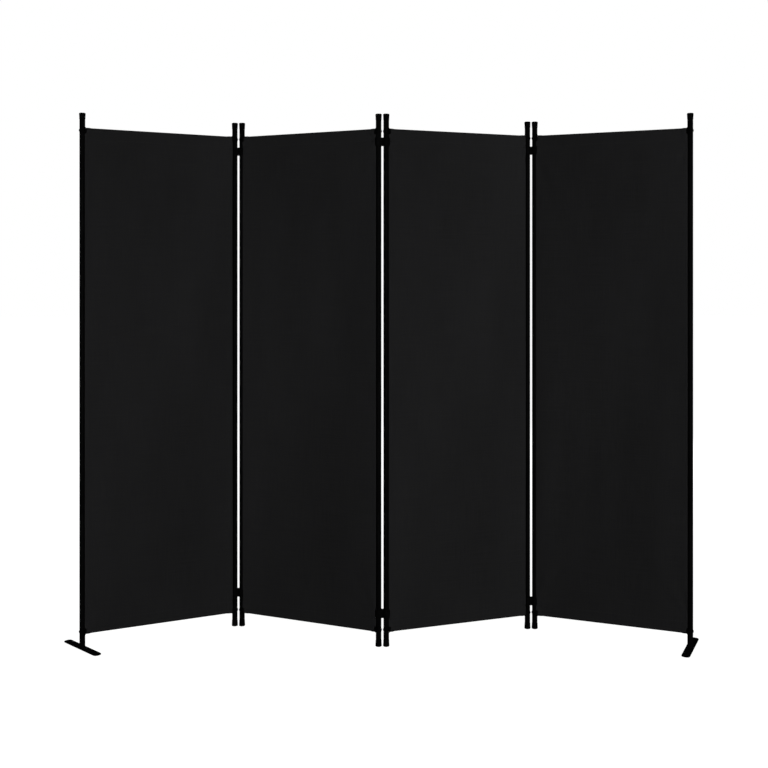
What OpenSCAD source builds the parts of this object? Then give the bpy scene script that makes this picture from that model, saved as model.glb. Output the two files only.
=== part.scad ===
// Folding room divider: four fabric panels on steel tube frames, joined by two-ring clips.
// Origin: on the floor, at the middle of the standing screen. +X runs left to right along the
// screen, +Y points to its back and +Z up. Posts are counted 0 to 7 from left to right.

/* [Screen] */
// Height of the screen, to the top of the caps
screen_h = 1803; // [1500:1:2000]
// Distance between the two post axes of one panel
panel_pitch = 535; // [400:1:700]
// Distance between the two post axes that a clip joins
clip_pitch = 26; // [25:0.5:40]
// Angle that each panel stands at, 0 = along the screen, positive = right end further back
panel_yaws = [26, -23.5, 20, -22]; // [-60:0.5:60]

/* [Posts] */
// Outer diameter of a post
post_d = 19; // [16:0.5:19]
// Wall of the post tubes and the cross bar tubes
tube_wall = 0.7; // [0.6:0.1:1.2]
// Number of tube sections in one post, of which the top one and the bottom one are nodes alone
section_count = 4; // [3:1:5]
// Length of the swaged neck that one section pushes into the next
neck_l = 35; // [20:1:60]
// Play between a swaged neck, a plug or a cap and its tube, all round
push_play = 0.05; // [0.02:0.01:0.1]

/* [Caps] */
// Height of a post cap
cap_h = 20; // [14:0.5:30]
// Thickness of the closed end of a cap, which lifts a post as much as the foot does
cap_floor = 4; // [3.5:0.5:6]
// Diameter of a cap at its closed end
cap_d = 21.6; // [21:0.1:22]
// Diameter of a cap at its open end
cap_rim_d = 20.4; // [20.2:0.1:20.8]

/* [Cross bars] */
// Outer diameter of a cross bar
bar_d = 16; // [12:0.5:16]
// Distance from the top of the screen down to the axis of a top bar
bar_drop = 59; // [45:1:80]
// Height of the axis of a bottom bar above the floor
bar_rise = 57; // [45:1:80]
// Distance from the post axis to the end of a bar
bar_inset = 12.5; // [12:0.5:25]

/* [Corner fittings] */
// Diameter of a bracket where it holds the post
bracket_d = 24.6; // [22:0.1:25]
// Diameter of a bracket at its collar, where the bar starts
bracket_collar_d = 18.4; // [17:0.1:22]
// Length of the bracket's plug inside the bar
plug_l = 20; // [10:1:40]
// Diameter of the corner bolts
bolt_d = 5; // [4:0.5:6]
// Diameter of a bolt head
bolt_head_d = 9; // [7:0.5:11]
// Height of a bolt head
bolt_head_h = 1.9; // [1:0.1:2.5]

/* [Fabric] */
// Thickness of the fabric
fabric_t = 1; // [0.6:0.1:1.5]
// Gap between a clip ring and the side edge of the fabric, which hangs in front of the posts' axes
fabric_gap = 0.35; // [0.3:0.05:3]
// Slack of a rod pocket round its bar
pocket_slack = 0.3; // [0.2:0.1:1]

/* [Clips] */
// Height of a clip
clip_h = 28; // [20:1:40]
// Outer diameter of a clip's rings
ring_d = 24.8; // [23:0.1:25]
// Running play between a ring and its post, all round
ring_play = 0.06; // [0.02:0.01:0.1]
// Width of the web between the two rings
web_w = 14; // [8:0.5:18]
// Distance from the top of the screen down to the middle of the left, centre and right top clip
clip_drops = [103, 95, 103]; // [90:1:140]
// Height of the middle of the left, centre and right bottom clip
clip_rises = [120, 111, 98]; // [90:1:140]

/* [Feet] */
// Length of a foot plate
foot_l = 206; // [120:1:300]
// Width of a foot plate
foot_w = 28; // [26:1:29]
// Thickness of a foot plate
foot_t = 3; // [2:0.5:3]
// Corner radius of a foot plate
foot_corner_r = 12; // [2:0.5:12.5]
// Turn of the left and the right foot from square to its panel
foot_turns = [20, -3]; // [-60:1:60]
// Diameter of the stud that the foot turns on
stud_d = 7.9; // [6:0.1:10]
// Length of the stud above the plate
stud_l = 30; // [15:1:50]
// Running play of the stud in its insert, all round
stud_play = 0.05; // [0.02:0.01:0.1]
// Diameter of a foot pad
pad_d = 20; // [12:1:22]
// Distance of a pad's centre from the end of the plate
pad_inset = 16; // [12:1:30]

/* [Hidden] */
PANELS = [1, 2, 3, 4];
SIDES = ["left", "right"];
PAIRS = ["left", "centre", "right"];
LEVELS = ["top", "bottom"];
PANEL_PARTS = ["fabric", "cross_bars", "brackets", "bolts", "caps"];
SECTIONS = ["top", "middle", "bottom"];
FOOT_PARTS = ["post_insert", "foot_stud", "foot_plate", "foot_pads"];

$fn = 64;

STEEL = [0.035, 0.035, 0.037];
PLASTIC = [0.02, 0.02, 0.022];
CLOTH = [0.09, 0.09, 0.095];
BOLT = [0.08, 0.08, 0.085];
RUBBER = [0.05, 0.05, 0.05];

post_r = post_d / 2;
bore_r = post_r - tube_wall;
bar_r = bar_d / 2;
bar_bore_r = bar_r - tube_wall;
tube_bottom = cap_floor;
tube_top = screen_h - cap_floor;
section_l = (tube_top - tube_bottom) / section_count;
bar_heights = [screen_h - bar_drop, bar_rise];
bar_l = panel_pitch - 2 * bar_inset;
pocket_r = bar_r + pocket_slack + fabric_t;
bolt_hole_r = bolt_d / 2 + 0.2;
bolt_l = bar_inset + plug_l * 0.7;
pad_t = cap_floor - foot_t;
saddle_start = post_r * 0.58;
sheet_back = pocket_r - fabric_t;
fabric_start = sqrt(pow(ring_d / 2 + fabric_gap, 2) - pow(sheet_back, 2));
corner_clear = bracket_d / 2 + 1;
shoulder_t = 2;
seat_gap = 0.1;
cut = 1;

// Plan position of a post, with the leftmost post at [0, 0]
function panel_way(p) = panel_pitch * [cos(panel_yaws[p]), sin(panel_yaws[p])];
function chain(n) =
    n == 0 ? [0, 0] : chain(n - 1) + (n % 2 == 1 ? panel_way((n - 1) / 2) : [clip_pitch, 0]);

// Direction of a foot, and how far it reaches from its post along X and along Y
foot_yaws = [panel_yaws[0] + 90 + foot_turns[0], panel_yaws[3] + 90 + foot_turns[1]];
function foot_reach(yaw) =
    let (a = foot_l / 2 - foot_corner_r, b = foot_w / 2 - foot_corner_r)
    [
        a * abs(cos(yaw)) + b * abs(sin(yaw)) + foot_corner_r,
        a * abs(sin(yaw)) + b * abs(cos(yaw)) + foot_corner_r
    ];

// The middle of the standing screen's outline in plan
left_reach = foot_reach(foot_yaws[0]);
right_reach = foot_reach(foot_yaws[1]);
post_ys = [for (n = [1:6]) chain(n)[1]];
front_y = min(chain(0)[1] - left_reach[1], chain(7)[1] - right_reach[1], min(post_ys) - ring_d / 2);
back_y = max(chain(0)[1] + left_reach[1], chain(7)[1] + right_reach[1], max(post_ys) + ring_d / 2);
left_x = chain(0)[0] - left_reach[0];
right_x = chain(7)[0] + right_reach[0];
middle = [(left_x + right_x) / 2, (front_y + back_y) / 2];
function post_at(n) = chain(n) - middle;

// Places its children in a panel: X runs from the left post axis to the right one, Y to the back
module in_panel(p)
    translate([post_at(2 * (p - 1))[0], post_at(2 * (p - 1))[1], 0])
        rotate([0, 0, panel_yaws[p - 1]])
            children();

// Places its children at one post of a panel, with X pointing into the panel
module at_post(side)
    if (side == "left") children();
    else translate([panel_pitch, 0, 0]) rotate([0, 0, 180]) children();

// Turns a shape that stands on Z so that it lies along X at height z
module along_x(z) translate([0, 0, z]) rotate([0, 90, 0]) children();

module tube(r, wall, l)
    difference() {
        cylinder(r = r, h = l);
        translate([0, 0, -cut]) cylinder(r = r - wall, h = l + 2 * cut);
    }

// One post section with its lower end at z = 0: a swaged neck on top, or plain where neck is false
module section(neck)
    let (top = neck ? section_l - seat_gap : section_l)
    difference() {
        union() {
            cylinder(r = post_r, h = top);
            if (neck) cylinder(r = bore_r - push_play, h = top + neck_l);
        }
        translate([0, 0, -cut]) cylinder(r = bore_r, h = top + cut - (neck ? shoulder_t : -cut));
        if (neck)
            translate([0, 0, top - shoulder_t - cut])
                cylinder(r = bore_r - push_play - tube_wall, h = neck_l + shoulder_t + 2 * cut);
    }

module post_section(side, part)
    color(STEEL)
        at_post(side)
            if (part == "middle")
                for (n = [1:section_count - 2])
                    translate([0, 0, tube_bottom + n * section_l]) section(true);
            else
                difference() {
                    translate([0, 0, part == "top" ? tube_top - section_l : tube_bottom])
                        section(part == "bottom");
                    translate([-post_d, 0, 0])
                        along_x(bar_heights[part == "top" ? 0 : 1])
                            cylinder(r = bolt_hole_r, h = 2 * post_d);
                }

module cross_bars()
    color(STEEL)
        for (z = bar_heights)
            translate([bar_inset, 0, 0]) along_x(z) tube(bar_r, tube_wall, bar_l);

// Saddle and collar outside the bar, plug inside it, drilled for the bolt
module bracket(z)
    difference() {
        union() {
            translate([saddle_start, 0, 0]) along_x(z)
                cylinder(d1 = bracket_d, d2 = bracket_collar_d, h = bar_inset - saddle_start);
            translate([bar_inset - cut, 0, 0]) along_x(z)
                cylinder(r = bar_bore_r - push_play, h = plug_l + cut);
        }
        translate([0, 0, z - bracket_d]) cylinder(r = post_r + push_play, h = 2 * bracket_d);
        along_x(z) cylinder(r = bolt_d / 2 + push_play, h = bar_inset + plug_l + cut);
    }

module brackets()
    color(PLASTIC)
        for (side = SIDES, z = bar_heights) at_post(side) bracket(z);

// Domed head on the outside of the post, shank through the post into the bracket
module bolt()
    rotate_extrude()
        polygon([
            [0, -bolt_head_h], [bolt_head_d * 0.25, -bolt_head_h],
            [bolt_head_d * 0.42, -bolt_head_h * 0.7], [bolt_head_d / 2, -bolt_head_h * 0.2],
            [bolt_head_d / 2, 0], [bolt_d / 2, 0], [bolt_d / 2, post_r + bolt_l],
            [0, post_r + bolt_l]
        ]);

module bolts()
    color(BOLT)
        for (side = SIDES, z = bar_heights)
            at_post(side) translate([-post_r, 0, 0]) along_x(z) bolt();

// A cap with its closed end at z = 0 and its open end up
module cap()
    rotate_extrude()
        polygon([
            [0, 0], [cap_d / 2 - 1.2, 0], [cap_d / 2, 1.2], [cap_d / 2, 3], [cap_rim_d / 2, cap_h],
            [post_r + push_play, cap_h], [post_r + push_play, cap_floor], [0, cap_floor]
        ]);

// Every post has a top cap, and every post without a foot has a bottom cap
module caps(p)
    color(PLASTIC)
        for (side = SIDES) at_post(side) {
            translate([0, 0, screen_h]) mirror([0, 0, 1]) cap();
            if (!(p == 1 && side == "left") && !(p == 4 && side == "right")) cap();
        }

// A flat sheet with a rod pocket behind it round each bar, cut away at the brackets
module fabric()
    color(CLOTH)
        difference() {
            union() {
                translate([fabric_start, -pocket_r, bar_heights[1]])
                    cube([
                        panel_pitch - 2 * fabric_start, fabric_t, bar_heights[0] - bar_heights[1]
                    ]);
                for (z = bar_heights)
                    translate([bar_inset + pocket_slack, 0, 0]) along_x(z)
                        cylinder(r = pocket_r, h = bar_l - 2 * pocket_slack);
            }
            for (z = bar_heights) along_x(z) cylinder(r = bar_r + pocket_slack, h = panel_pitch);
            for (side = SIDES, z = bar_heights) at_post(side)
                translate([0, -post_d, z - corner_clear])
                    cube([bar_inset + pocket_slack, 2 * post_d, 2 * corner_clear]);
        }

// Two rings and the web between them, with the left post axis at the origin
module clip()
    difference() {
        translate([0, 0, -clip_h / 2]) union() {
            for (x = [0, clip_pitch]) translate([x, 0, 0]) cylinder(d = ring_d, h = clip_h);
            translate([clip_pitch / 4, -web_w / 2, 0]) cube([clip_pitch / 2, web_w, clip_h]);
        }
        for (x = [0, clip_pitch])
            translate([x, 0, -clip_h]) cylinder(r = post_r + ring_play, h = 2 * clip_h);
    }

module hinge_clip(pair, level)
    color(PLASTIC)
        translate([
            post_at(2 * pair + 1)[0], post_at(2 * pair + 1)[1],
            level == "top" ? screen_h - clip_drops[pair] : clip_rises[pair]
        ])
            clip();

// Places its children at a foot, with X along the plate
module at_foot(side)
    let (n = side == "left" ? 0 : 7)
        translate([post_at(n)[0], post_at(n)[1], 0])
            rotate([0, 0, foot_yaws[side == "left" ? 0 : 1]])
                children();

module foot_outline()
    let (x = foot_l / 2 - foot_corner_r, y = foot_w / 2 - foot_corner_r) {
        for (i = [-1, 1], j = [-1, 1]) translate([i * x, j * y]) circle(foot_corner_r);
        square([foot_l, 2 * y], center = true);
        square([2 * x, foot_w], center = true);
    }

module foot_plate(side)
    color(STEEL)
        at_foot(side)
            translate([0, 0, pad_t])
                linear_extrude(foot_t)
                    difference() {
                        foot_outline();
                        circle(d = stud_d + 2 * push_play);
                    }

module foot_stud(side)
    color(BOLT)
        at_foot(side) translate([0, 0, pad_t]) cylinder(d = stud_d, h = foot_t + stud_l);

// Plug in the lower end of an end post, which the foot's stud turns in
module post_insert(side)
    color(PLASTIC)
        at_foot(side)
            translate([0, 0, tube_bottom + 0.2])
                difference() {
                    cylinder(r = bore_r - push_play, h = stud_l);
                    translate([0, 0, -cut]) cylinder(r = stud_d / 2 + stud_play, h = stud_l + 2 * cut);
                }

module foot_pads(side)
    color(RUBBER)
        at_foot(side)
            for (i = [-1, 1])
                translate([i * (foot_l / 2 - pad_inset), 0, 0]) cylinder(d = pad_d, h = pad_t);

for (p = PANELS) {
    in_panel(p) fabric();
    in_panel(p) cross_bars();
    in_panel(p) brackets();
    in_panel(p) bolts();
    in_panel(p) caps(p);
    for (side = SIDES, part = SECTIONS)
        in_panel(p) post_section(side, part);
}
for (pair = [0:2], level = LEVELS)
    hinge_clip(pair, level);
for (side = SIDES) {
    post_insert(side);
    foot_stud(side);
    foot_plate(side);
    foot_pads(side);
}
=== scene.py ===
import math

import bmesh
import bpy
import numpy as np
from mathutils import Matrix, Vector


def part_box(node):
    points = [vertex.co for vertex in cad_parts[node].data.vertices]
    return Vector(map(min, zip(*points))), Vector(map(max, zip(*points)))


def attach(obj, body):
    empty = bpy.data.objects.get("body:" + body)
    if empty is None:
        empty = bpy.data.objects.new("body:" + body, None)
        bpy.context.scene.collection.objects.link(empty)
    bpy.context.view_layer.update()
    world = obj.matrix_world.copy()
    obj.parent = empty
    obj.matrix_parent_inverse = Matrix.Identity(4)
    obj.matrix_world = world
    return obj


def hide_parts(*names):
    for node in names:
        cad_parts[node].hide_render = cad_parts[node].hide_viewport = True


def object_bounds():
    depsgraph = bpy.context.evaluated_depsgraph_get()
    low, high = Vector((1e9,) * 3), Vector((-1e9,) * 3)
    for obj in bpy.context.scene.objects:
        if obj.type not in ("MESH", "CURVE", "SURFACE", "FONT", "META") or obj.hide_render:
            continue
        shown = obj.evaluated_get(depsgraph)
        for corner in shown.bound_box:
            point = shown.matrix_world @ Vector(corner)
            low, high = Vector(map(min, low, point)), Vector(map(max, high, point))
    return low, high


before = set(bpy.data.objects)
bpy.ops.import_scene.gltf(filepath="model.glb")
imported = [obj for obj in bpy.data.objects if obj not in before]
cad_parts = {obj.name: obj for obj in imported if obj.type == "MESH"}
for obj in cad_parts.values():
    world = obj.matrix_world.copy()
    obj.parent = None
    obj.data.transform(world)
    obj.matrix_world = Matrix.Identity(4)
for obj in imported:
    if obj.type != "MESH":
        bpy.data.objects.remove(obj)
cad_low, cad_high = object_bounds()

# The folding screen's looks. Every length is in metres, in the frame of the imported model: +X to the
# right along the screen, +Y to its back, +Z up from the floor.

PANELS = (1, 2, 3, 4)
SIDES = ("left", "right")
LEVELS = ("top", "bottom")
PAIRS = ("left", "centre", "right")

# ---------------------------------------------------------------- sizes that the CAD model sets
POST_R = 0.0095
TUBE_WALL = 0.0007
NECK_L = 0.035
PUSH_PLAY = 0.00005
SEAT_GAP = 0.0001
SECTION_COUNT = 4

CAP_H = 0.020
CAP_FLOOR = 0.004
CAP_R = 0.0108
CAP_RIM_R = 0.0102

BAR_R = 0.008
BAR_INSET = 0.0125
SADDLE_START = 0.0055
BRACKET_R = 0.0123
COLLAR_R = 0.0092

HEAD_R = 0.0045
HEAD_H = 0.0019
SHANK_R = 0.0025
SHANK_PAST_COLLAR = 0.008

RING_R = 0.0124
RING_BORE_R = 0.00956
CLIP_WAIST = 0.007

FOOT_L = 0.206
FOOT_W = 0.028
FOOT_T = 0.003
FOOT_CORNER_R = 0.012
STUD_HOLE_R = 0.004
PAD_R = 0.010

# ---------------------------------------------------------------- sizes of the cloth
# Distance of each cloth's left and right edge from the post axes: three of the four hang a little to
# the left
EDGES = {1: (0.0070, 0.0114), 2: (0.0075, 0.0068), 3: (0.0062, 0.0120), 4: (0.0062, 0.0086)}
# Beside a clip's ring the edge stays this far from the post's axis, over the ring's height and this
# much more
CLIP_EDGE = 0.0096
CLIP_ROOM = 0.0006
# At a bracket the edge stays this far from its collar. The cut ends these distances in from the bar's
# axis, in front of the bar and behind it.
BRACKET_GAP = 0.0003
FRONT_CLEAR = 0.0106
BACK_CLEAR = 0.0136
CLOTH_T = 0.0009
# From the middle of one layer of cloth to the middle of the next
LAYER = 0.00105
POCKET_R = BAR_R + 0.00015 + CLOTH_T / 2
# The pocket's seam below the bar's axis, and the flap's free edge below the seam
SEAM_DROP = 0.030
FLAP_TURN = 0.006
HEM_W = 0.009
HEM_STITCH = 0.0072
STITCH_L = 0.0030
STITCH_GAP = 0.0009
STITCH_R = 0.00028
WEAVE_PITCH = 0.0008

# Columns of points at a cloth's side. In the hem, from its raw edge behind the sheet round the fold:
# (distance in from the side edge, depth behind the face in layers). On the face: distances in.
HEM_COLUMNS = ((HEM_W, 1), (0.006, 1), (0.003, 1), (0.0006, 1), (0.00015, 0.85), (0, 0.5), (0.00015, 0.15))
FACE_COLUMNS = (0.0006, 0.003, 0.006, 0.009, 0.0125, 0.018, 0.026, 0.036)
INNER_START = 0.050
INNER_COLUMNS = 32

# Depths of the waves and folds of the hanging cloth
LONG_WAVE = 0.0009
SHORT_WAVE = 0.0006
BELLY = 0.0014
CREASE = 0.0011
CLIP_PRESS = 0.0013
CLIP_BULGE = 0.0009
PUCKER = 0.00035

# ---------------------------------------------------------------- camera
CAMERA_AT = (0.005, -3.677, 1.247)
CAMERA_LENS = 50.1
CAMERA_SHIFT = -0.138


# ================================================================ mesh helpers
def centre_of(node):
    low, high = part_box(node)
    return (low + high) / 2


def add_piece(name, points, faces, material, body, nodes, slot, sharp=35):
    """A mesh piece in the row frame that rides on a body and stands for CAD nodes."""
    mesh = bpy.data.meshes.new(name)
    mesh.from_pydata([tuple(p) for p in points], [], faces)
    finish_mesh(mesh, sharp)
    return add_object(name, mesh, material, body, nodes)


def finish_mesh(mesh, sharp=35):
    """Merges touching points, turns the faces outward and shades them smooth up to the sharp angle."""
    work = bmesh.new()
    work.from_mesh(mesh)
    bmesh.ops.remove_doubles(work, verts=work.verts, dist=1e-6)
    bmesh.ops.dissolve_degenerate(work, dist=1e-7, edges=work.edges)
    bmesh.ops.recalc_face_normals(work, faces=work.faces)
    work.to_mesh(mesh)
    work.free()
    mesh.shade_smooth()
    mesh.set_sharp_from_angle(angle=math.radians(sharp))


def add_object(name, mesh, material, body, nodes):
    piece = bpy.data.objects.new(name, mesh)
    bpy.context.scene.collection.objects.link(piece)
    mesh.materials.clear()
    mesh.materials.append(material)
    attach(piece, body)
    if nodes:
        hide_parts(*nodes)
    return piece


def rounded(corners, steps=4, closed=True):
    """Points of an outline given as (a, b, radius) corners, each corner rounded to its radius."""
    points = []
    count = len(corners)
    for i, (a, b, radius) in enumerate(corners):
        here = np.array([a, b], float)
        if radius <= 0 or (not closed and i in (0, count - 1)):
            points.append(here)
            continue
        before = np.array(corners[i - 1][:2], float) - here
        after = np.array(corners[(i + 1) % count][:2], float) - here
        before, after = before / np.linalg.norm(before), after / np.linalg.norm(after)
        half = math.acos(np.clip(before @ after, -1, 1)) / 2
        reach = radius / math.tan(half)
        middle = here + (before + after) / np.linalg.norm(before + after) * radius / math.sin(half)
        start, end = here + before * reach - middle, here + after * reach - middle
        turn = math.atan2(start[0] * end[1] - start[1] * end[0], start @ end)
        for k in range(steps + 1):
            c, s = math.cos(turn * k / steps), math.sin(turn * k / steps)
            points.append(middle + [start[0] * c - start[1] * s, start[0] * s + start[1] * c])
    return points


def angles_round(turns):
    return [2 * math.pi * k / turns for k in range(turns)]


def ring_faces(rings, turns):
    """Quads from each ring of points to the next, every ring having the same number of points."""
    return [
        (i * turns + k, i * turns + (k + 1) % turns, (i + 1) * turns + (k + 1) % turns, (i + 1) * turns + k)
        for i in range(rings - 1)
        for k in range(turns)
    ]


def ring_lid(ring, turns):
    """The face that closes one ring of points."""
    return tuple(ring * turns + k for k in range(turns))


def lathe(outline, turns=48):
    """Points and faces of a closed (radius, height) outline turned about Z."""
    angles = angles_round(turns)
    points = [(r * math.cos(a), r * math.sin(a), z) for r, z in outline for a in angles]
    closing = ring_faces(len(outline) + 1, turns)
    return points, [tuple(v % len(points) for v in face) for face in closing]


def joined(parts):
    """One list of points and one of faces from several (points, faces) parts."""
    points, faces = [], []
    for part_points, part_faces in parts:
        start = len(points)
        points += [tuple(p) for p in part_points]
        faces += [tuple(start + v for v in face) for face in part_faces]
    return points, faces


def placed(part, matrix):
    points, faces = part
    return [matrix @ Vector(p) for p in points], faces


def panel_frame(number):
    """A panel's own axes (X from its left post to its right one, Y to its back) and its width."""
    left = centre_of(f"panel{number}_left_post_middle")
    right = centre_of(f"panel{number}_right_post_middle")
    left.z = right.z = 0
    along = (right - left).normalized()
    back = Vector((-along.y, along.x, 0))
    turn = Matrix((along, back, (0, 0, 1))).transposed().to_4x4()
    return Matrix.Translation(left) @ turn, (right - left).length


def bar_heights(number):
    low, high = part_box(f"panel{number}_cross_bars")
    return {"top": high.z - BAR_R, "bottom": low.z + BAR_R}


def at_side(side, width):
    """Places a shape made for the left post, with X into the panel, at either post of a panel."""
    if side == "left":
        return Matrix.Identity(4)
    return Matrix.Translation((width, 0, 0)) @ Matrix.Rotation(math.pi, 4, "Z")


# ================================================================ materials
def add_node(tree, kind, inputs=None, **settings):
    """A shader node whose inputs are numbers, colours or the outputs of other nodes."""
    made = tree.nodes.new(kind)
    for name, value in settings.items():
        setattr(made, name, value)
    for key, value in (inputs or {}).items():
        if isinstance(value, bpy.types.NodeSocket):
            tree.links.new(value, made.inputs[key])
        else:
            made.inputs[key].default_value = value
    return made


def math_node(tree, operation, a, b=0.0):
    return add_node(tree, "ShaderNodeMath", {0: a, 1: b}, operation=operation).outputs[0]


def stretched_noise(tree, place, scale, detail=2.0):
    """Noise in a metre coordinate, with its own scale along each axis."""
    mapped = add_node(tree, "ShaderNodeMapping", {"Vector": place, "Scale": scale}).outputs[0]
    settings = {"Vector": mapped, "Scale": 1.0, "Detail": detail}
    return add_node(tree, "ShaderNodeTexNoise", settings).outputs["Fac"]


def blend_of(tree, factor, dark, light):
    mixed = add_node(tree, "ShaderNodeMix", {"Factor": factor}, data_type="RGBA")
    mixed.inputs["A"].default_value = (*dark, 1)
    mixed.inputs["B"].default_value = (*light, 1)
    return mixed.outputs["Result"]


def span(tree, value, low, high, to_low, to_high):
    """value from low..high mapped to to_low..to_high, and held there."""
    inputs = {0: value, 1: low, 2: high, 3: to_low, 4: to_high}
    return add_node(tree, "ShaderNodeMapRange", inputs).outputs[0]


def new_material(name):
    material = bpy.data.materials.new(name)
    material.use_nodes = True
    tree = material.node_tree
    return material, tree, tree.nodes["Principled BSDF"]


def set_bump(tree, shader, height, depth, strength=1.0):
    inputs = {"Height": height, "Distance": depth, "Strength": strength}
    bump = add_node(tree, "ShaderNodeBump", inputs)
    tree.links.new(bump.outputs[0], shader.inputs["Normal"])


def cloth_material():
    """Plain-woven black polyester, its coordinates in metres of flat cloth."""
    material, tree, shader = new_material("woven_polyester")
    flat = add_node(tree, "ShaderNodeUVMap", uv_map="flat").outputs[0]
    axes = add_node(tree, "ShaderNodeSeparateXYZ", {0: flat}).outputs
    rate = 2 * math.pi / WEAVE_PITCH
    warp = math_node(tree, "SINE", math_node(tree, "MULTIPLY", axes["X"], rate))
    weft = math_node(tree, "SINE", math_node(tree, "MULTIPLY", axes["Y"], rate))
    weave = math_node(tree, "MULTIPLY", warp, weft)
    long_slubs = stretched_noise(tree, flat, (420, 9, 1), 3.0)
    cross_slubs = stretched_noise(tree, flat, (7, 420, 1), 3.0)
    cloud = stretched_noise(tree, flat, (3.2, 1.1, 1), 3.0)
    slubs = math_node(tree, "ADD", long_slubs, cross_slubs)
    tone = math_node(tree, "ADD", math_node(tree, "MULTIPLY", slubs, 0.5), cloud)
    light_part = span(tree, tone, 0.72, 1.28, 0, 1)
    colour = blend_of(tree, light_part, (0.0165, 0.0165, 0.0170), (0.0235, 0.0235, 0.0243))
    tree.links.new(colour, shader.inputs["Base Color"])
    tree.links.new(span(tree, slubs, 0.7, 1.3, 0.98, 0.82), shader.inputs["Roughness"])
    shader.inputs["Specular IOR Level"].default_value = 0.06
    shader.inputs["Sheen Weight"].default_value = 0.012
    shader.inputs["Sheen Roughness"].default_value = 0.55
    height = math_node(tree, "ADD", math_node(tree, "MULTIPLY", weave, 0.35), slubs)
    set_bump(tree, shader, height, 0.00035, 0.8)
    return material


def thread_material():
    """Twisted sewing thread, a little lighter than the cloth."""
    material, tree, shader = new_material("sewing_thread")
    place = add_node(tree, "ShaderNodeTexCoord").outputs["Object"]
    twist = add_node(tree, "ShaderNodeTexWave", {"Vector": place, "Scale": 900.0, "Distortion": 2.0})
    colour = blend_of(tree, twist.outputs["Fac"], (0.018, 0.018, 0.019), (0.032, 0.032, 0.034))
    tree.links.new(colour, shader.inputs["Base Color"])
    shader.inputs["Roughness"].default_value = 0.7
    shader.inputs["Specular IOR Level"].default_value = 0.15
    set_bump(tree, shader, twist.outputs["Fac"], 0.0001)
    return material


def coated_material(name, dark, light, rough, grain, depth, specular):
    """A moulded or coated surface: fine grain in its bump, soft clouding in its colour and gloss."""
    material, tree, shader = new_material(name)
    place = add_node(tree, "ShaderNodeTexCoord").outputs["Object"]
    fine = stretched_noise(tree, place, (grain, grain, grain), 2.0)
    cloud = stretched_noise(tree, place, (30, 30, 9), 4.0)
    colour = blend_of(tree, span(tree, cloud, 0.35, 0.65, 0, 1), dark, light)
    tree.links.new(colour, shader.inputs["Base Color"])
    tree.links.new(span(tree, cloud, 0.3, 0.7, rough[0], rough[1]), shader.inputs["Roughness"])
    shader.inputs["Specular IOR Level"].default_value = specular
    set_bump(tree, shader, fine, depth, 0.6)
    return material


cloth = cloth_material()
thread = thread_material()
powder_coat = coated_material(
    "black_powder_coat", (0.0020, 0.0020, 0.0021), (0.0034, 0.0034, 0.0035), (0.34, 0.46), 1300, 0.00006, 0.42
)
plastic = coated_material(
    "moulded_nylon", (0.0022, 0.0022, 0.0023), (0.0038, 0.0038, 0.0039), (0.45, 0.60), 1900, 0.00005, 0.32
)
oxide_steel = coated_material(
    "black_oxide_steel", (0.006, 0.006, 0.0064), (0.014, 0.014, 0.0145), (0.28, 0.42), 2600, 0.00003, 0.5
)
rubber = coated_material(
    "foot_rubber", (0.0050, 0.0050, 0.0050), (0.0085, 0.0085, 0.0083), (0.75, 0.9), 1500, 0.00008, 0.2
)


# ================================================================ posts and caps
def tube_section(low, high, neck):
    """A tube with rolled ends; one with a neck narrows at its top to push into the next section."""
    bore = POST_R - TUBE_WALL
    edge = 0.00028
    if not neck:
        corners = [(bore, low, edge), (POST_R, low, edge), (POST_R, high, edge), (bore, high, edge)]
        return lathe(rounded(corners, 3))
    neck_r = bore - PUSH_PLAY
    throat_r = neck_r - TUBE_WALL
    shoulder = 0.002
    corners = [
        (bore, low, edge),
        (POST_R, low, edge),
        (POST_R, high, 0.0005),
        (neck_r, high, 0),
        (neck_r, high + NECK_L, edge),
        (throat_r, high + NECK_L, edge),
        (throat_r, high - shoulder, 0),
        (bore, high - shoulder, 0),
    ]
    return lathe(rounded(corners, 3))


def build_posts():
    for number in PANELS:
        for side in SIDES:
            base = f"panel{number}_{side}_post"
            axis = centre_of(base + "_middle")
            foot_z, head_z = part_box(base + "_bottom")[0].z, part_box(base + "_top")[1].z
            step = (head_z - foot_z) / SECTION_COUNT
            spans = {"top": [SECTION_COUNT - 1], "middle": range(1, SECTION_COUNT - 1), "bottom": [0]}
            for part, indices in spans.items():
                sections = []
                for n in indices:
                    neck = part != "top"
                    top = foot_z + (n + 1) * step - (SEAT_GAP if neck else 0)
                    sections.append(tube_section(foot_z + n * step, top, neck))
                points, faces = placed(joined(sections), Matrix.Translation((axis.x, axis.y, 0)))
                node = f"{base}_{part}"
                add_piece(
                    node + "_tube", points, faces, powder_coat, f"panel_{number}", [node], "frame_steel"
                )


def cap_shape():
    """A moulded end cap standing on its closed end, with a bead round its open rim."""
    bore = POST_R + PUSH_PLAY
    bead = 0.0016
    corners = [
        (0, 0, 0),
        (CAP_R * 0.55, 0, 0),
        (CAP_R, 0.0002, 0.0026),
        (CAP_R, 0.0040, 0.002),
        (CAP_RIM_R - 0.00015, CAP_H - bead * 1.6, 0.001),
        (CAP_RIM_R + 0.0002, CAP_H - bead, 0.0003),
        (CAP_RIM_R + 0.0002, CAP_H, 0.00025),
        (bore, CAP_H, 0.00015),
        (bore, CAP_FLOOR, 0),
        (0, CAP_FLOOR, 0),
    ]
    return lathe(rounded(corners, 4))


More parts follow.
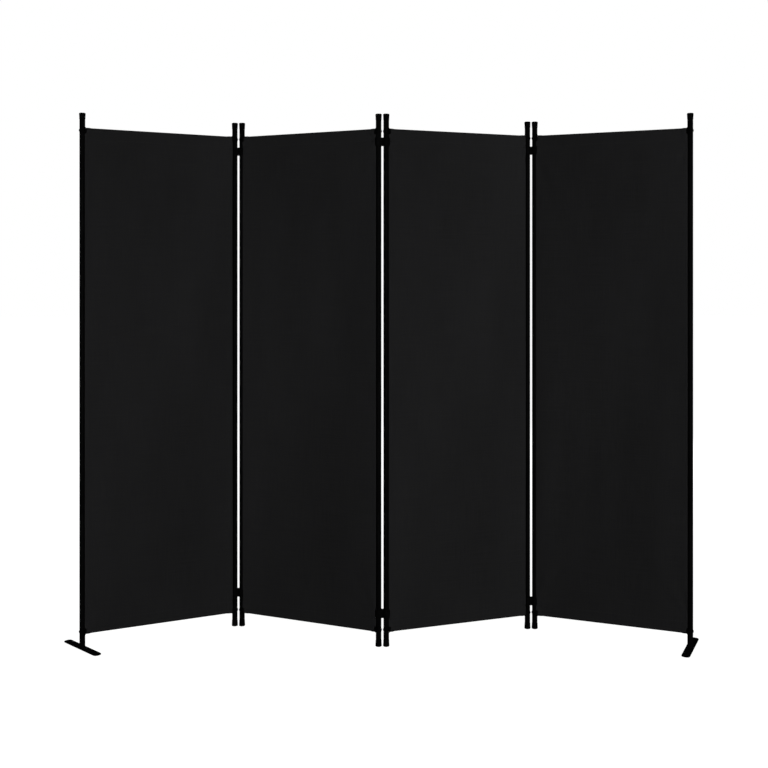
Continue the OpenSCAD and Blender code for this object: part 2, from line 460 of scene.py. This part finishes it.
def build_caps():
    for number in PANELS:
        matrix, width = panel_frame(number)
        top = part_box(f"panel{number}_caps")[1].z
        parts = []
        for side in SIDES:
            place = matrix @ at_side(side, width)
            over = place @ Matrix.Translation((0, 0, top)) @ Matrix.Rotation(math.pi, 4, "X")
            parts.append(placed(cap_shape(), over))
            footed = (number, side) in ((1, "left"), (4, "right"))
            if not footed:
                parts.append(placed(cap_shape(), place))
        node = f"panel{number}_caps"
        add_piece(node + "_moulded", *joined(parts), plastic, f"panel_{number}", [node], "moulded_plastic")


# ================================================================ corner brackets and bolts
def bracket_shape():
    """A socket that hugs the post with a saddle and narrows to a collar at the cross bar.

    It is built as rings about X, from the saddle's middle out over its rim and along to the collar.
    """
    turns = 64
    hug_r = POST_R + PUSH_PLAY
    rim = 0.0007
    rim_steps = 3
    # (radius, distance out from the post's surface) of the rings that follow the post
    curved = [(r, 0) for r in np.linspace(0.0015, BRACKET_R - rim, 8)]
    for k in range(rim_steps + 1):
        a = math.pi / 2 * k / rim_steps
        curved.append((BRACKET_R - rim + rim * math.sin(a), rim - rim * math.cos(a)))
    curved += [(BRACKET_R - 0.0002, 0.0010), (BRACKET_R - 0.0010, 0.0017)]
    # (radius, x) of the flat rings at the collar
    straight = [
        (COLLAR_R + 0.0008, BAR_INSET - 0.0009),
        (COLLAR_R + 0.0004, BAR_INSET - 0.0003),
        (COLLAR_R, BAR_INSET),
        (BAR_R - 0.001, BAR_INSET),
    ]
    angles = angles_round(turns)
    points = []
    for r, out in curved:
        for a in angles:
            y, z = r * math.cos(a), r * math.sin(a)
            on_post = math.sqrt(max(hug_r**2 - y**2, 0))
            points.append((max(SADDLE_START, on_post) + out, y, z))
    points += [(x, r * math.cos(a), r * math.sin(a)) for r, x in straight for a in angles]
    total = len(curved) + len(straight)
    faces = ring_faces(total, turns) + [ring_lid(0, turns), ring_lid(total - 1, turns)]
    return points, faces


def bolt_shape():
    """A domed head with a cross recess, seated on the round of the post, and its shank."""
    turns, rings = 48, 14
    slot_w, slot_l, slot_depth = 0.00042, 0.0021, 0.0009
    roundness = 0.82
    seat = 0.0001
    angles = angles_round(turns)
    points = []
    for i in range(rings + 1):
        r = HEAD_R * i / rings
        for a in angles:
            y, z = r * math.cos(a), r * math.sin(a)
            dome = HEAD_H * math.sqrt(max(1 - (r / HEAD_R) ** 2 * roundness, 0))
            near, far = min(abs(y), abs(z)), max(abs(y), abs(z))
            inside = min(max((slot_w * 1.5 - near) / slot_w, 0), 1) * min(max((slot_l - far) / slot_w, 0), 1)
            points.append((-POST_R - dome + slot_depth * inside, y, z))
    for r in (HEAD_R, SHANK_R):
        for a in angles:
            y, z = r * math.cos(a), r * math.sin(a)
            points.append((-math.sqrt(POST_R**2 - y**2) + seat, y, z))
    for x in (-POST_R + 0.002, BAR_INSET + SHANK_PAST_COLLAR):
        points += [(x, SHANK_R * math.cos(a), SHANK_R * math.sin(a)) for a in angles]
    total = len(points) // turns
    return points, ring_faces(total, turns) + [ring_lid(total - 1, turns)]


def build_corners():
    for number in PANELS:
        matrix, width = panel_frame(number)
        heights = bar_heights(number)
        brackets, bolts = [], []
        for side in SIDES:
            for level in LEVELS:
                place = matrix @ at_side(side, width) @ Matrix.Translation((0, 0, heights[level]))
                brackets.append(placed(bracket_shape(), place))
                bolts.append(placed(bolt_shape(), place))
        body = f"panel_{number}"
        node = f"panel{number}_brackets"
        add_piece(node + "_moulded", *joined(brackets), plastic, body, [node], "moulded_plastic", sharp=40)
        node = f"panel{number}_bolts"
        add_piece(node + "_turned", *joined(bolts), oxide_steel, body, [node], "bolt_steel", sharp=40)


# ================================================================ clips and feet
def flat_body(name, outlines, thickness, bevel):
    """A mesh of that thickness from flat closed outlines, the first round it and the others holes."""
    curve = bpy.data.curves.new(name, "CURVE")
    curve.dimensions = "2D"
    curve.fill_mode = "BOTH"
    curve.extrude = thickness / 2 - bevel
    curve.bevel_depth = bevel
    curve.bevel_resolution = 3
    curve.offset = -bevel
    for outline in outlines:
        spline = curve.splines.new("POLY")
        spline.points.add(len(outline) - 1)
        for point, (x, y) in zip(spline.points, outline):
            point.co = (x, y, 0, 1)
        spline.use_cyclic_u = True
    holder = bpy.data.objects.new(name, curve)
    mesh = bpy.data.meshes.new_from_object(holder)
    mesh.name = name
    bpy.data.objects.remove(holder)
    bpy.data.curves.remove(curve)
    return mesh


def circle(radius, x=0.0, turns=64):
    return [(x + radius * math.cos(a), radius * math.sin(a)) for a in angles_round(turns)]


def arc(centre, radius, start, end, steps):
    return [
        (centre[0] + radius * math.cos(a), centre[1] + radius * math.sin(a))
        for a in np.linspace(start, end, steps)
    ]


def clip_outline(pitch):
    """Two rings with a waist between them, whose two hollows meet the rings smoothly."""
    half = pitch / 2
    fillet = (half**2 + CLIP_WAIST**2 - RING_R**2) / (2 * (RING_R - CLIP_WAIST))
    rise = CLIP_WAIST + fillet
    lean = math.atan2(rise, half)
    return (
        arc((0, 0), RING_R, lean, 2 * math.pi - lean, 56)
        + arc((half, -rise), fillet, math.pi - lean, lean, 14)[1:-1]
        + arc((pitch, 0), RING_R, lean - math.pi, math.pi - lean, 56)
        + arc((half, rise), fillet, -lean, lean - math.pi, 14)[1:-1]
    )


def build_clips():
    for index, pair in enumerate(PAIRS):
        left_post = centre_of(f"panel{index + 1}_right_post_middle")
        right_post = centre_of(f"panel{index + 2}_left_post_middle")
        pitch = (right_post - left_post).length
        for level in LEVELS:
            node = f"{pair}_clip_{level}"
            low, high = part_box(node)
            outlines = [clip_outline(pitch), circle(RING_BORE_R), circle(RING_BORE_R, pitch)]
            mesh = flat_body(node, outlines, high.z - low.z, bevel=0.0009)
            middle = (low.z + high.z) / 2
            mesh.transform(Matrix.Translation((left_post.x, left_post.y, middle)))
            finish_mesh(mesh, sharp=40)
            add_object(node + "_moulded", mesh, plastic, f"{pair}_clips", [node])


def foot_frame(side):
    """The plate's own axes (X along it, at the middle of its lower face) and where one pad is from there."""
    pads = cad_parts[f"{side}_foot_pads"].data.vertices
    middle = centre_of(f"{side}_foot_plate")
    points = np.array([v.co[:2] for v in pads]) - np.array(middle[:2])
    far = points[np.argmax(np.linalg.norm(points, axis=1))]
    one_end = points[points @ far > 0].mean(axis=0)
    yaw = math.atan2(one_end[1], one_end[0])
    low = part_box(f"{side}_foot_plate")[0].z
    return Matrix.Translation((middle.x, middle.y, low)) @ Matrix.Rotation(yaw, 4, "Z"), one_end


def build_feet():
    for side in SIDES:
        matrix, pad_at = foot_frame(side)
        x, y = FOOT_L / 2, FOOT_W / 2
        r = FOOT_CORNER_R
        outline = rounded([(x, -y, r), (x, y, r), (-x, y, r), (-x, -y, r)], 10)
        mesh = flat_body("foot", [outline, circle(STUD_HOLE_R)], FOOT_T, bevel=0.0006)
        mesh.transform(matrix @ Matrix.Translation((0, 0, FOOT_T / 2)))
        finish_mesh(mesh, sharp=40)
        node = f"{side}_foot_plate"
        add_object(node + "_coated", mesh, powder_coat, f"{side}_foot", [node])

        low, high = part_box(f"{side}_foot_pads")
        corners = [(0, 0, 0), (PAD_R, 0, 0.0004), (PAD_R, high.z, 0.0001), (0, high.z, 0)]
        reach = np.linalg.norm(pad_at)
        pad = lathe(rounded(corners, 3))
        drop = low.z - matrix.translation.z
        pads = [placed(pad, matrix @ Matrix.Translation((x, 0, drop))) for x in (-reach, reach)]
        node = f"{side}_foot_pads"
        add_piece(node + "_cut", *joined(pads), rubber, f"{side}_foot", [node], "pad_rubber")


# ================================================================ cloth
def smooth(t):
    t = np.clip(t, 0, 1)
    return t * t * (3 - 2 * t)


def pocket_path():
    """Points (y, z) of the cloth round a top bar, measured from the bar's axis.

    The path starts at the free end of the flap behind the sheet, rises to the back of the bar, goes
    over it and hangs straight down in front to the seam.
    """
    seam = np.array([LAYER - POCKET_R, -SEAM_DROP])
    first = math.atan2(seam[1], seam[0]) + math.acos(POCKET_R / np.linalg.norm(seam))
    touch = POCKET_R * np.array([math.cos(first), math.sin(first)])
    flap = [(seam[0], z) for z in np.linspace(-SEAM_DROP - FLAP_TURN, -SEAM_DROP, 4)[:-1]]
    behind = np.concatenate([np.linspace(seam[1], touch[1], 10), -BACK_CLEAR + np.linspace(-0.003, 0.003, 9)])
    rise = [tuple(seam + (touch - seam) * (z - seam[1]) / (touch[1] - seam[1])) for z in np.sort(behind)]
    over = [(POCKET_R * math.cos(a), POCKET_R * math.sin(a)) for a in np.linspace(first, math.pi, 28)[1:]]
    corner = -FRONT_CLEAR + np.linspace(-0.003, 0.003, 9)
    before = np.concatenate([np.linspace(-0.002, -SEAM_DROP, 9), corner])
    fall = [(-POCKET_R, z) for z in np.sort(before)[::-1]]
    return flap + rise + over + fall


def clips_beside(number):
    """(side, middle height, height) of each clip beside a panel."""
    found = []
    for side, pair in (("left", number - 2), ("right", number - 1)):
        if 0 <= pair < len(PAIRS):
            for level in LEVELS:
                low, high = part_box(f"{PAIRS[pair]}_clip_{level}")
                found.append((side, (low.z + high.z) / 2, high.z - low.z))
    return found


def cloth_rows(number):
    """The (y, z) profile of one cloth from the top flap's end to the bottom flap's end."""
    heights = bar_heights(number)
    pocket = np.array(pocket_path())
    top = pocket + [0, heights["top"]]
    bottom = pocket[::-1] * [1, -1] + [0, heights["bottom"]]
    # Rows lie closest together where the edge steps in above and below a clip, then close beside it
    fine = [
        z + sign * (h / 2 + CLIP_ROOM) + step
        for _, z, h in clips_beside(number)
        for sign in (-1, 1)
        for step in np.linspace(-0.0015, 0.0015, 7)
    ]
    close = [z + step for _, z, _ in clips_beside(number) for step in np.linspace(-0.05, 0.05, 21)]
    z_high, z_low = top[-1, 1], bottom[0, 1]
    coarse = np.linspace(z_high, z_low, 150)[1:-1]
    levels = np.sort(np.concatenate([fine, close, coarse]))[::-1]
    pocket_gap, least_step = 0.0008, 0.0004
    levels = levels[(levels < z_high - pocket_gap) & (levels > z_low + pocket_gap)]
    kept = [levels[0]]
    for z in levels[1:]:
        if kept[-1] - z > least_step:
            kept.append(z)
    sheet = np.array([(-POCKET_R, z) for z in kept])
    return np.concatenate([top, sheet, bottom])


def edge_shift(side, number, z, behind):
    """How far the cloth's side edge is cut back, at height z, at the brackets and beside the clips."""
    heights = bar_heights(number)
    start = EDGES[number][SIDES.index(side)]
    soft = 0.0030
    clear = np.where(behind, BACK_CLEAR, FRONT_CLEAR)
    corner = np.maximum(
        smooth((z - heights["top"] + clear + soft / 2) / soft),
        smooth((heights["bottom"] + clear + soft / 2 - z) / soft),
    )
    shift = corner * (BAR_INSET + BRACKET_GAP - start)
    for where, middle, height in clips_beside(number):
        if where == side:
            inside = smooth((height / 2 + 2 * CLIP_ROOM - np.abs(z - middle)) / (2 * CLIP_ROOM))
            shift = np.maximum(shift, inside * max(CLIP_EDGE - start, 0))
    return shift


def drape(number, x, z, width, low, high):
    """How far the hanging cloth stands off its flat plane, in metres, towards the back.

    Long soft waves run down the sheet, shallow creases run out of the four corners, the clips press
    it forward, and the pocket seams pucker.
    """
    phase = 1.7 * number
    across, up = x / width, (z - low) / (high - low)
    calm = smooth(up / 0.06) * smooth((1 - up) / 0.06)
    waves = LONG_WAVE * np.sin(2 * math.pi * (3.1 * across + 0.35 * np.sin(2.2 * up + phase)) + phase)
    waves += SHORT_WAVE * np.sin(2 * math.pi * (5.3 * across - 0.6 * up) + 2.3 * phase)
    waves *= 0.55 + 0.45 * np.sin(2.4 * math.pi * up + 0.8 * phase)
    belly = BELLY * np.sin(math.pi * up) * np.sin(math.pi * across)
    creases = np.zeros_like(x)
    for corner_x, corner_z in ((0, high), (width, high), (0, low), (width, low)):
        run = np.hypot(x - corner_x, z - corner_z)
        angle = np.arctan2(np.abs(z - corner_z), np.abs(x - corner_x))
        fade = smooth(run / 0.05) * np.exp(-run / 0.22)
        creases += CREASE * fade * np.cos(13 * angle + phase + 3 * corner_x + corner_z)
    pushes = np.zeros_like(x)
    for side, middle, _ in clips_beside(number):
        inward = x if side == "left" else width - x
        reach = np.exp(-(((inward - 0.011) / 0.015) ** 2))
        pushes -= CLIP_PRESS * reach * np.exp(-(((z - middle) / 0.015) ** 2))
        pushes += CLIP_BULGE * reach * np.exp(-(((z - middle + 0.034) / 0.011) ** 2))
    seam_gap = np.minimum(z - low, high - z)
    ripple = np.sin(2 * math.pi * x / 0.023 + 1.3 * np.sin(31 * x + phase))
    pucker = PUCKER * np.exp(-np.abs(seam_gap) / 0.035) * ripple
    return calm * (waves + belly + creases) + pushes + smooth(seam_gap / 0.006) * pucker


def cloth_surface(number):
    """Rows and columns of points of one cloth in its panel's axes, and its flat coordinates."""
    _, width = panel_frame(number)
    heights = bar_heights(number)
    rows = cloth_rows(number)
    way = np.gradient(rows, axis=0)
    way /= np.linalg.norm(way, axis=1)[:, None]
    out = np.stack([way[:, 1], -way[:, 0]], axis=1)
    down = np.concatenate([[0], np.cumsum(np.linalg.norm(np.diff(rows, axis=0), axis=1))])

    border = [*HEM_COLUMNS, *((inset, 0) for inset in FACE_COLUMNS)]
    starts = dict(zip(SIDES, EDGES[number]))
    inner = np.linspace(starts["left"] + INNER_START, width - starts["right"] - INNER_START, INNER_COLUMNS)
    columns = [("left", inset, depth) for inset, depth in border]
    columns += [(None, x, 0) for x in inner]
    columns += [("right", inset, depth) for inset, depth in reversed(border)]

    high, low = heights["top"] - SEAM_DROP, heights["bottom"] + SEAM_DROP
    in_pocket = smooth((rows[:, 1] - high) / 0.012) + smooth((low - rows[:, 1]) / 0.012)
    behind = out[:, 0] > 0.2
    on_sheet = (rows[:, 1] < high) & (rows[:, 1] > low)
    shifts = {side: edge_shift(side, number, rows[:, 1], behind) for side in SIDES}
    grid = np.zeros((len(rows), len(columns), 3))
    flat = np.zeros((len(rows), len(columns), 2))
    for c, (side, inset, depth) in enumerate(columns):
        hug = 1 - smooth((inset - HEM_W) / 0.027)
        shift = shifts[side] * hug if side else 0
        start = starts.get(side, 0)
        x = start + inset + shift + np.zeros(len(rows))
        if side == "right":
            x = width - x
        lift = LAYER * (in_pocket * (1 - smooth((inset - HEM_W) / 0.010)) * bool(side) - depth)
        wave = np.where(on_sheet, drape(number, x, rows[:, 1], width, low, high), 0)
        grid[:, c, 0] = x
        grid[:, c, 1] = rows[:, 0] + out[:, 0] * lift + wave
        grid[:, c, 2] = rows[:, 1] + out[:, 1] * lift
        fold = -inset if depth >= 0.5 else inset
        along = start + fold + shift
        flat[:, c, 0] = width - along if side == "right" else along
        flat[:, c, 1] = down
    return grid, flat


def grid_faces(rows, columns):
    return [
        (r * columns + c, r * columns + c + 1, (r + 1) * columns + c + 1, (r + 1) * columns + c)
        for r in range(rows - 1)
        for c in range(columns - 1)
    ]


def stitch_row(points, normals):
    """Stitches, each a small six-sided grain, along a line of points on the cloth."""
    steps = np.linalg.norm(np.diff(points, axis=0), axis=1)
    run = np.concatenate([[0], np.cumsum(steps)])
    pitch = STITCH_L + STITCH_GAP
    count = int(run[-1] / pitch)
    spots = (np.arange(count) + 0.5) * pitch
    at = np.stack([np.interp(spots, run, points[:, k]) for k in range(3)], axis=1)
    ahead = np.stack([np.interp(spots + STITCH_L / 4, run, points[:, k]) for k in range(3)], axis=1) - at
    up = np.stack([np.interp(spots, run, normals[:, k]) for k in range(3)], axis=1)
    ahead /= np.maximum(np.linalg.norm(ahead, axis=1), 1e-9)[:, None]
    up /= np.linalg.norm(up, axis=1)[:, None]
    side = np.cross(ahead, up)
    sides = 6
    flatness = 1.25
    # (place along the stitch in lengths, thickness in STITCH_R)
    stations = ((-0.5, 0.35), (-0.28, 0.95), (0, 1.1), (0.28, 0.95), (0.5, 0.35))
    faces = ring_faces(len(stations), sides) + [ring_lid(0, sides), ring_lid(len(stations) - 1, sides)]
    angles = angles_round(sides)
    grains = []
    for p, a, u, s in zip(at, ahead, up, side):
        round_it = [s * math.cos(turn) * flatness + u * math.sin(turn) for turn in angles]
        grain = [p + a * t * STITCH_L + spoke * r * STITCH_R for t, r in stations for spoke in round_it]
        grains.append((grain, faces))
    return joined(grains)


def build_cloths():
    for number in PANELS:
        matrix, width = panel_frame(number)
        grid, flat = cloth_surface(number)
        rows, columns = grid.shape[:2]
        name = f"panel{number}_fabric_sewn"
        mesh = bpy.data.meshes.new(name)
        faces = grid_faces(rows, columns)
        mesh.from_pydata([tuple(p) for p in grid.reshape(-1, 3)], [], faces)
        layer = mesh.uv_layers.new(name="flat")
        spots = flat.reshape(-1, 2)[[v for face in faces for v in face]]
        layer.data.foreach_set("uv", spots.astype(np.float32).ravel())
        mesh.transform(matrix)
        mesh.shade_smooth()
        piece = add_object(name, mesh, cloth, f"panel_{number}", [f"panel{number}_fabric"])
        thick = piece.modifiers.new("thickness", "SOLIDIFY")
        thick.thickness = CLOTH_T
        thick.offset = 0

        sewing = placed(panel_stitches(grid), matrix)
        stitches = add_piece(
            f"panel{number}_stitches", *sewing, thread, f"panel_{number}", [], "cloth", sharp=60
        )


def panel_stitches(grid):
    """The pocket seams across the cloth and the hem seams down its sides, on its front and its back."""
    first_sheet = len(pocket_path()) - 1
    last_sheet = len(grid) - len(pocket_path())
    hem = len(HEM_COLUMNS)
    seams = [grid[row, hem:-hem] for row in (first_sheet + 1, last_sheet - 1)]
    for side in SIDES:
        columns = hem + np.arange(len(FACE_COLUMNS))
        if side == "right":
            columns = grid.shape[1] - 1 - columns
        strip = grid[first_sheet + 2 : last_sheet - 1][:, columns]
        insets = np.abs(strip[:, :, 0] - strip[:, :1, 0])
        seam = [
            [np.interp(HEM_STITCH, inset, row[:, k]) for k in range(3)]
            for inset, row in zip(insets, strip)
        ]
        seams.append(np.array(seam))
    lift = CLOTH_T / 2 + STITCH_R * 0.3
    parts = []
    for seam in seams:
        for offset, facing in ((-lift, -1.0), (LAYER + lift, 1.0)):
            parts.append(stitch_row(seam + [0, offset, 0], np.tile([0, facing, 0], (len(seam), 1))))
    return joined(parts)


# ================================================================ the rest of the CAD nodes
def finish_hidden_nodes():
    """The pieces inside the pockets and posts keep their CAD shape, with finished surfaces."""
    finishes = {"_cross_bars": powder_coat, "_post_insert": plastic, "_foot_stud": oxide_steel}
    for node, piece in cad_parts.items():
        for ending, material in finishes.items():
            if node.endswith(ending):
                piece.data.materials.clear()
                piece.data.materials.append(material)


# ================================================================ stage, lights and camera
def build_floor():
    """A white floor that glows to the camera only, so that it meets the white background unseen."""
    mesh = bpy.data.meshes.new("studio_floor")
    reach = 30.0
    corners = [(-reach, -reach, 0), (reach, -reach, 0), (reach, reach, 0), (-reach, reach, 0)]
    mesh.from_pydata(corners, [], [(0, 1, 2, 3)])
    floor = bpy.data.objects.new("studio_floor", mesh)
    bpy.context.scene.collection.objects.link(floor)
    material = bpy.data.materials.new("pale_floor")
    material.use_nodes = True
    tree = material.node_tree
    tree.nodes.clear()
    place = add_node(tree, "ShaderNodeTexCoord").outputs["Object"]
    cloud = stretched_noise(tree, place, (1.5, 1.5, 1.5), 3.0)
    colour = blend_of(tree, cloud, (0.38, 0.38, 0.38), (0.42, 0.42, 0.42))
    paint = add_node(tree, "ShaderNodeBsdfDiffuse", {"Color": colour}).outputs[0]
    away = add_node(tree, "ShaderNodeVectorMath", {0: place}, operation="LENGTH").outputs["Value"]
    level = span(tree, away, 1.6, 4.0, 0.94, 1.0)
    seen = add_node(tree, "ShaderNodeLightPath").outputs["Is Camera Ray"]
    glow_level = math_node(tree, "MULTIPLY", seen, level)
    glow = add_node(tree, "ShaderNodeEmission", {"Strength": glow_level}).outputs[0]
    both = add_node(tree, "ShaderNodeAddShader", {0: paint, 1: glow}).outputs[0]
    add_node(tree, "ShaderNodeOutputMaterial", {"Surface": both})
    mesh.materials.append(material)
    floor.visible_glossy = False


def build_world():
    """White to the camera, and dim to everything else, so that the black screen stays black."""
    world = bpy.data.worlds.new("studio")
    bpy.context.scene.world = world
    world.use_nodes = True
    tree = world.node_tree
    tree.nodes.clear()
    seen = add_node(tree, "ShaderNodeLightPath").outputs["Is Camera Ray"]
    level = span(tree, seen, 0, 1, 0.03, 1.0)
    air = add_node(tree, "ShaderNodeBackground", {"Color": (1, 1, 1, 1), "Strength": level}).outputs[0]
    add_node(tree, "ShaderNodeOutputWorld", {"Surface": air})
    world.cycles_visibility.glossy = False


def add_light(name, at, target, size, power, glossy=False):
    light = bpy.data.lights.new(name, "AREA")
    light.shape = "RECTANGLE"
    light.size, light.size_y = size
    light.energy = power
    lamp = bpy.data.objects.new(name, light)
    bpy.context.scene.collection.objects.link(lamp)
    lamp.location = at
    lamp.rotation_euler = (Vector(target) - Vector(at)).to_track_quat("-Z", "Y").to_euler()
    lamp.visible_glossy = glossy
    lamp.visible_camera = False


def build_lights():
    middle = (0, 0, (cad_low.z + cad_high.z) / 2)
    add_light("key", (4.2, -4.4, 1.8), middle, (2.0, 2.2), 184)
    add_light("fill", (-2.6, -1.3, 1.3), middle, (1.0, 1.4), 21.5)
    add_light("back_right", (2.6, 4.2, 1.9), middle, (2.4, 2.2), 60)
    add_light("back_left", (-3.0, 3.8, 2.2), middle, (2.4, 2.2), 44)
    add_light("front_strip", (0.4, -5.2, 1.2), middle, (0.5, 2.6), 2.0, glossy=True)
    add_light("back_strip", (-0.5, 5.2, 1.2), middle, (0.5, 2.6), 2.0, glossy=True)


def build_camera():
    data = bpy.data.cameras.new("camera")
    data.sensor_width = 36
    data.lens = CAMERA_LENS
    data.shift_y = CAMERA_SHIFT
    camera = bpy.data.objects.new("camera", data)
    bpy.context.scene.collection.objects.link(camera)
    camera.location = CAMERA_AT
    camera.rotation_euler = (math.pi / 2, 0, 0)
    bpy.context.scene.camera = camera


bpy.context.scene.view_settings.view_transform = "Standard"
build_posts()
build_caps()
build_corners()
build_clips()
build_feet()
build_cloths()
finish_hidden_nodes()
build_floor()
build_world()
build_lights()
build_camera()
